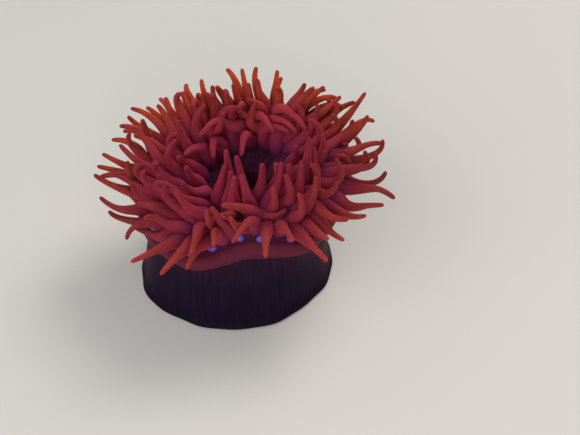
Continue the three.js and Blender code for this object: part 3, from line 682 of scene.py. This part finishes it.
def addNode(tree, kind, inputs=None, **settings):
    made = tree.nodes.new(kind)
    for key, value in settings.items():
        setattr(made, key, value)
    for key, value in (inputs or {}).items():
        setOrLink(tree, made.inputs[key], value)
    return made


def ramp(tree, factor, stops):
    made = addNode(tree, "ShaderNodeValToRGB", {"Fac": factor})
    while len(made.color_ramp.elements) < len(stops):
        made.color_ramp.elements.new(0.5)
    for element, (position, color) in zip(made.color_ramp.elements, stops):
        element.position = position
        element.color = (*color, 1)
    return made.outputs["Color"]


def mixColor(tree, factor, a, b):
    made = addNode(tree, "ShaderNodeMix", data_type="RGBA")
    sockets = {socket.identifier: socket for socket in made.inputs}
    setOrLink(tree, sockets["Factor_Float"], factor)
    for name, color in (("A_Color", a), ("B_Color", b)):
        setOrLink(tree, sockets[name], (*color, 1) if isinstance(color, tuple) else color)
    return next(socket for socket in made.outputs if socket.identifier == "Result_Color")


def reckon(tree, operation, a, b, clamp=False):
    return addNode(tree, "ShaderNodeMath", {0: a, 1: b}, operation=operation, use_clamp=clamp).outputs[0]


def fadeIn(tree, value, start, rate):  # from 0 at the start up to 1, before it if the rate is below 0
    return reckon(tree, "MULTIPLY", reckon(tree, "SUBTRACT", value, start), rate, clamp=True)


def noise(tree, vector, scale, detail):
    inputs = {"Vector": vector, "Scale": scale, "Detail": detail}
    return addNode(tree, "ShaderNodeTexNoise", inputs).outputs["Fac"]


def attribute(tree, name):
    return addNode(tree, "ShaderNodeAttribute", attribute_name=name).outputs["Fac"]


def objectPlace(tree):
    return addNode(tree, "ShaderNodeTexCoord").outputs["Object"]


# Flesh: dark purple column with fine upright lines, darkened toward the foot as painted shade under
# the crown, wine red collar and disc, and a throat darkened as painted shade in the mouth's hollow.
# Tentacles run from wine at the root, darker and more purple there partly as painted shade where the
# roots crowd, to crimson; they are redder away from the axis as painted light shining through the
# outer tentacles, orange at the back of the crown as a painted glow of light from behind, and bright
# red in front as painted light on the front tips. Scales and places are in metres here.
flesh = {"roughness": 0.62, "specular": 0.06, "subsurface": 1.0, "bleed": (1.0, 0.45, 0.4), "depth": 0.0008,
         "sheen": 0.06, "sheenRoughness": 0.35, "sheenTint": (0.9, 0.11, 0.03, 1), "rootEdge": 12.0,
         "mottleScale": 420.0, "mottleDetail": 4.0, "mottleShare": 0.3, "mottleColor": (0.006, 0.001, 0.004),
         "grainScale": 2600.0, "grainDetail": 3.0, "grainRelief": 0.3,
         "linesRound": 110.0, "linesUp": 60.0, "lineScale": 1.6, "lineDetail": 2.0, "lineRelief": 1.2,
         # outer: tentacles away from the axis take the outer colours, painted light shining through the thin
         # outer tentacles
         "outerFrom": 0.013, "outerRate": 110.0, "toneShare": 0.3, "toneColor": (0.22, 0.016, 0.046),
         # back: a painted glow of light shining from behind through the outer tentacles at the back of the
         # crown
         "backFrom": -0.006, "backRate": 60.0, "paintedBacklight": (0.42, 0.057, 0.014),
         # front: painted light brightening the tentacles toward their tips at the front
         "frontFrom": -0.012, "frontRate": -80.0, "frontShare": 0.6, "paintedFrontLight": (0.42, 0.050, 0.042),
         "relief": 0.25, "reliefDepth": 0.0002}
# Colours by the share of the way up the body's outline, of the line noise or along a tentacle
fleshRamps = {
    # body: the column darkens toward the foot, partly its own dark purple and partly painted shade under the
    # crown
    "body": [(0.0, (0.004, 0.002, 0.010)),  # foot
             (0.10, (0.004, 0.002, 0.013)),
             (0.18, (0.007, 0.003, 0.015)),  # column
             (0.25, (0.019, 0.006, 0.019)),
             (0.28, (0.030, 0.006, 0.019)),  # under the collar
             (0.31, (0.095, 0.012, 0.028)),  # collar
             (0.36, (0.13, 0.017, 0.035)),
             (0.42, (0.10, 0.011, 0.032)),
             (0.50, (0.09, 0.011, 0.038)),  # bead groove
             (0.62, (0.070, 0.014, 0.050)),  # rim
             (0.82, (0.055, 0.012, 0.046)),  # disc
             (0.87, (0.12, 0.014, 0.036)),  # lips
             # the throat darkens to almost black: painted shade in the mouth's hollow
             (0.93, (0.05, 0.005, 0.018)),
             (1.0, (0.010, 0.002, 0.008))],  # throat
    # lines: darker toward the foot the same way, partly painted shade under the crown
    "lines": [(0.0, (0.006, 0.003, 0.013)),
              (0.18, (0.012, 0.005, 0.020)),
              (0.25, (0.034, 0.010, 0.028)),
              (0.31, (0.12, 0.017, 0.035)),
              (0.5, (0.12, 0.014, 0.046)),
              (0.82, (0.10, 0.016, 0.046)),
              # the lines darken in the throat too: painted shade in the mouth's hollow
              (1.0, (0.02, 0.004, 0.014))],
    "lineShare": [(0.46, (0, 0, 0)), (0.62, (0.8, 0.8, 0.8))],
    # both ramps darken to purple at the root: partly the flesh's own wine, partly painted shade where the
    # roots crowd together
    "inner": [(0.0, (0.12, 0.017, 0.080)), (0.35, (0.31, 0.027, 0.074)),
              (0.7, (0.31, 0.028, 0.061)), (1.0, (0.23, 0.021, 0.043))],
    # the outer colours are redder and more orange: painted light shining through the thin outer tentacles
    "outer": [(0.0, (0.12, 0.017, 0.075)), (0.35, (0.26, 0.028, 0.042)),
              (0.75, (0.25, 0.035, 0.025)), (1.0, (0.17, 0.016, 0.021))],
    # how strongly the painted glow of light from behind shows along a tentacle, strongest a little before
    # the tip
    "paintedGlow": [(0.0, (0, 0, 0)), (0.5, (0.8, 0.8, 0.8)), (0.78, (1, 1, 1)), (1.0, (0.25, 0.25, 0.25))]}


def bodyColor(tree, lineNoise):
    profile = attribute(tree, "profile")
    lineShare = ramp(tree, lineNoise, fleshRamps["lineShare"])
    return mixColor(tree, lineShare, ramp(tree, profile, fleshRamps["body"]),
                    ramp(tree, profile, fleshRamps["lines"]))


def armColor(tree, place, y, along):
    flat = addNode(tree, "ShaderNodeVectorMath", {0: place, 1: (1, 1, 0)}, operation="MULTIPLY")
    reach = addNode(tree, "ShaderNodeVectorMath", {0: flat.outputs["Vector"]}, operation="LENGTH")
    # tentacles far from the axis take the outer colours: painted light shining through them
    outer = fadeIn(tree, reach.outputs["Value"], flesh["outerFrom"], flesh["outerRate"])
    color = mixColor(tree, outer, ramp(tree, along, fleshRamps["inner"]),
                     ramp(tree, along, fleshRamps["outer"]))
    tone = reckon(tree, "MULTIPLY", attribute(tree, "tone"), flesh["toneShare"])
    color = mixColor(tree, tone, color, flesh["toneColor"])
    # painted glow of light from behind: orange on the outer rows at the back of the crown
    back = fadeIn(tree, y, flesh["backFrom"], flesh["backRate"])
    back = reckon(tree, "MULTIPLY", back, attribute(tree, "outward"))
    back = reckon(tree, "MULTIPLY", back, ramp(tree, along, fleshRamps["paintedGlow"]), clamp=True)
    color = mixColor(tree, back, color, flesh["paintedBacklight"])
    # painted light: the tentacles at the front brighten toward their tips
    front = fadeIn(tree, y, flesh["frontFrom"], flesh["frontRate"])
    front = reckon(tree, "MULTIPLY", front, along)
    front = reckon(tree, "MULTIPLY", front, flesh["frontShare"], clamp=True)
    return mixColor(tree, front, color, flesh["paintedFrontLight"])


def fleshMaterial():
    material, tree, shader = shaderFor("anemone flesh", flesh["roughness"])
    place = objectPlace(tree)
    axes = addNode(tree, "ShaderNodeSeparateXYZ", {"Vector": place}).outputs
    along = attribute(tree, "along")
    onArm = reckon(tree, "MULTIPLY", along, flesh["rootEdge"], clamp=True)
    mottle = noise(tree, place, flesh["mottleScale"], flesh["mottleDetail"])
    grain = noise(tree, place, flesh["grainScale"], flesh["grainDetail"])
    # upright lines: noise read along the angle round the axis, hardly changing with height
    turn = reckon(tree, "ARCTAN2", axes["Y"], axes["X"])
    lineX = reckon(tree, "MULTIPLY", turn, flesh["linesRound"] / (2 * pi))
    lineY = reckon(tree, "MULTIPLY", axes["Z"], flesh["linesUp"])
    lineSpot = addNode(tree, "ShaderNodeCombineXYZ", {"X": lineX, "Y": lineY}).outputs["Vector"]
    lineNoise = noise(tree, lineSpot, flesh["lineScale"], flesh["lineDetail"])
    color = mixColor(tree, onArm, bodyColor(tree, lineNoise), armColor(tree, place, axes["Y"], along))
    mottleShare = reckon(tree, "MULTIPLY", mottle, flesh["mottleShare"])
    color = mixColor(tree, mottleShare, color, flesh["mottleColor"])
    tree.links.new(color, shader.inputs["Base Color"])
    letLightIn(shader, flesh)
    shader.inputs["Specular IOR Level"].default_value = flesh["specular"]
    shader.inputs["Sheen Weight"].default_value = flesh["sheen"]
    shader.inputs["Sheen Roughness"].default_value = flesh["sheenRoughness"]
    shader.inputs["Sheen Tint"].default_value = flesh["sheenTint"]
    relief = reckon(tree, "ADD", mottle, reckon(tree, "MULTIPLY", grain, flesh["grainRelief"]))
    bodyLines = reckon(tree, "MULTIPLY", lineNoise, reckon(tree, "SUBTRACT", 1.0, onArm))
    relief = reckon(tree, "ADD", relief, reckon(tree, "MULTIPLY", bodyLines, flesh["lineRelief"]))
    bump = addNode(tree, "ShaderNodeBump", {"Height": relief, "Strength": flesh["relief"],
                                            "Distance": flesh["reliefDepth"]})
    tree.links.new(bump.outputs["Normal"], shader.inputs["Normal"])
    return material


skin.data.materials.clear()
skin.data.materials.append(fleshMaterial())
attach(skin, "root")
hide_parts(*[name for name in frame["nodes"] if name != "bead_ring"])
print("skin coloured")

# Beads: one ball, copied round the groove, each a little off in size and place
ball = {"subdivisions": 4, "long": 1.2, "tall": 1.0, "uneven": 0.12, "unevenSeed": 900,
        "stray": 3.0, "strayStep": 3, "straySeed": 1315,
        "roughness": 0.3, "mottleScale": 900.0, "mottleDetail": 3.0,
        "colors": [(0.3, (0.055, 0.035, 0.25)), (0.7, (0.12, 0.085, 0.42))],
        "subsurface": 0.4, "bleed": (0.4, 0.4, 1.0), "depth": 0.0006}


def beadCo(k):
    size = beads["size"] / 2 * (1 + ball["uneven"] * scatter(k + ball["unevenSeed"]))
    turn = radians(ball["stray"]) * scatter(k * ball["strayStep"] + ball["straySeed"])
    x, y, z = beadCentres[k]
    centre = np.array([x * cos(turn) - y * sin(turn), y * cos(turn) + x * sin(turn), z])
    out = polar(1, beadAngles[k], 0)
    around = polar(1, beadAngles[k] + 90, 0) * ball["long"]
    tall = np.array([0, 0, ball["tall"]])
    shape = ballCo[:, :1] * out + ballCo[:, 1:2] * around + ballCo[:, 2:] * tall
    return nodOver(centre + shape * size)


def beadMaterial():
    material, tree, shader = shaderFor("bead blue", ball["roughness"])
    mottle = noise(tree, objectPlace(tree), ball["mottleScale"], ball["mottleDetail"])
    tree.links.new(ramp(tree, mottle, ball["colors"]), shader.inputs["Base Color"])
    letLightIn(shader, ball)
    return material


bpy.ops.object.select_all(action="DESELECT")
bpy.ops.mesh.primitive_ico_sphere_add(subdivisions=ball["subdivisions"], radius=1, location=(0, 0, 0))
firstBall = bpy.context.object
ballCo = coordsOf(firstBall)
made = []
for k in range(beads["count"]):
    piece = firstBall.copy()
    piece.data = firstBall.data.copy()
    bpy.context.scene.collection.objects.link(piece)
    setCoords(piece, beadCo(k) * mm)
    made.append(piece)
bpy.data.objects.remove(firstBall)
bpy.ops.object.select_all(action="DESELECT")
for piece in made:
    piece.select_set(True)
bpy.context.view_layer.objects.active = made[0]
bpy.ops.object.join()
beadPiece = bpy.context.object
beadPiece.name = "beads"
bpy.ops.object.shade_smooth()
beadPiece.data.materials.clear()
beadPiece.data.materials.append(beadMaterial())
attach(beadPiece, "root")
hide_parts("bead_ring")
print("beads:", len(made))

# Floor and studio light, in metres
studio = {"floorSize": 3, "floorColor": (0.55, 0.54, 0.52, 1), "floorRoughness": 0.8,
          "aim": (0, 0, 0.018), "airColor": (0.93, 0.95, 1, 1), "airStrength": 0.4}
lamps = [{"name": "key", "at": (0.30, 0.22, 0.50), "watts": 2.2, "size": 0.3, "tint": (1.0, 0.95, 0.86)},
         {"name": "fill", "at": (-0.40, -0.35, 0.40), "watts": 2.0, "size": 0.6, "tint": (1.0, 0.98, 0.95)},
         {"name": "front", "at": (0.00, -0.50, 0.28), "watts": 1.6, "size": 0.4, "tint": (1.0, 0.96, 0.90)}]


def floorMaterial():
    material, _, shader = shaderFor("floor", studio["floorRoughness"])
    shader.inputs["Base Color"].default_value = studio["floorColor"]
    return material


bpy.ops.mesh.primitive_plane_add(size=studio["floorSize"])
floor = bpy.context.object
floor.name = "floor"
floor.data.materials.append(floorMaterial())
for light in lamps:
    bpy.ops.object.light_add(type="AREA", location=light["at"])
    lamp = bpy.context.object
    lamp.name = light["name"]
    lamp.data.energy = light["watts"]
    lamp.data.size = light["size"]
    lamp.data.color = light["tint"]
    toward = Vector(studio["aim"]) - Vector(light["at"])
    lamp.rotation_euler = toward.to_track_quat("-Z", "Y").to_euler()
world = bpy.data.worlds.new("studio")
bpy.context.scene.world = world
world.use_nodes = True
air = world.node_tree.nodes["Background"]
air.inputs["Color"].default_value = studio["airColor"]
air.inputs["Strength"].default_value = studio["airStrength"]
bpy.context.scene.view_settings.view_transform = "Standard"
print("lamps:", len(lamps))
